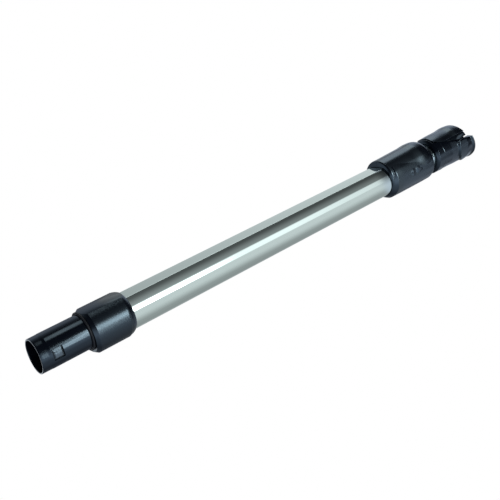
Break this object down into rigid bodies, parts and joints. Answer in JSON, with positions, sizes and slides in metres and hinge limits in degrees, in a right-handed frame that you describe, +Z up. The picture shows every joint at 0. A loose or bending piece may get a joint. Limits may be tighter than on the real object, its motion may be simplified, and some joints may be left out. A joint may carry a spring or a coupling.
{
  "type": "telescopic vacuum wand",
  "caption": "Steel telescopic vacuum cleaner wand, pushed together, with a spigot and catch button at one end, a sliding lock sleeve, and a handle socket with a release lever at the other",
  "frame": {"origin": "middle of the wand's length and width, on the floor it lies on, with the telescope pushed together", "axes": "+X runs along the wand from the floor tool's end to the handle's end, +Z is up through the tube's flat roof, -Y is the side with the catch button"},
  "size_m": [0.565, 0.045, 0.0461],
  "materials": {
    "spigot_black": "gloss",
    "collar_black": "fine texture",
    "sleeve_black": "satin",
    "connector_black": "fine texture",
    "lever_black": "satin",
    "button_grey": "gloss",
    "tube_steel": "polished",
    "inner_tube_steel": "polished",
    "hidden_plastic": "natural",
    "seal_rubber": "matt",
    "wiper_felt": "felt",
    "hardware_steel": "satin",
    "spring_steel": "satin"
  },
  "bodies": {
    "base": {"spigot": "spigot_black", "collar": "collar_black", "spigot_seal": "seal_rubber", "collar_screw": "hardware_steel", "catch_spring": "spring_steel", "catch_rivet": "hardware_steel", "outer_tube": "tube_steel", "guide_liner": "hidden_plastic", "lock_housing": "hidden_plastic", "housing_screw_near": "hardware_steel", "housing_screw_far": "hardware_steel", "wiper_ring": "wiper_felt", "return_spring": "spring_steel"},
    "catch": {"catch_button": "button_grey"},
    "sleeve": {"sleeve_near": "sleeve_black", "sleeve_far": "sleeve_black", "sleeve_band_front": "spring_steel", "sleeve_band_rear": "spring_steel"},
    "lock": {"lock_pin": "hardware_steel"},
    "slider": {"inner_tube": "inner_tube_steel", "slide_bush": "hidden_plastic", "connector": "connector_black", "connector_rivet_front": "hardware_steel", "connector_rivet_rear": "hardware_steel", "socket_seal": "seal_rubber", "lever_pin": "hardware_steel", "lever_spring": "spring_steel"},
    "lever": {"release_lever": "lever_black"}
  },
  "joints": [
    {"name": "telescope", "type": "slide", "parent": "base", "child": "slider", "axis": [1, 0, 0], "range_m": [0, 0.36]},
    {"name": "sleeve_slide", "type": "slide", "parent": "base", "child": "sleeve", "axis": [-1, 0, 0], "range_m": [0, 0.005], "stiffness_N_per_m": 600, "springref_m": -0.01, "deforming": ["return_spring"]},
    {"name": "lock_lift", "type": "slide", "parent": "base", "child": "lock", "axis": [0, 0, 1], "range_m": [0, 0.0022]},
    {"name": "catch_press", "type": "slide", "parent": "base", "child": "catch", "axis": [0, 1, 0], "range_m": [0, 0.002], "stiffness_N_per_m": 1500, "springref_m": -0.001, "deforming": ["catch_spring"]},
    {"name": "lever_hinge", "type": "hinge", "parent": "slider", "child": "lever", "pos_m": [0.22217, 0, 0.0395], "axis": [0, -1, 0], "range_deg": [0, 8], "stiffness_Nm_per_rad": 0.4, "springref_deg": -8.59, "deforming": ["lever_spring"]}
  ],
  "couplings": [
    {"joint": "lock_lift", "follows": "sleeve_slide", "ratio": 0.44}
  ]
}
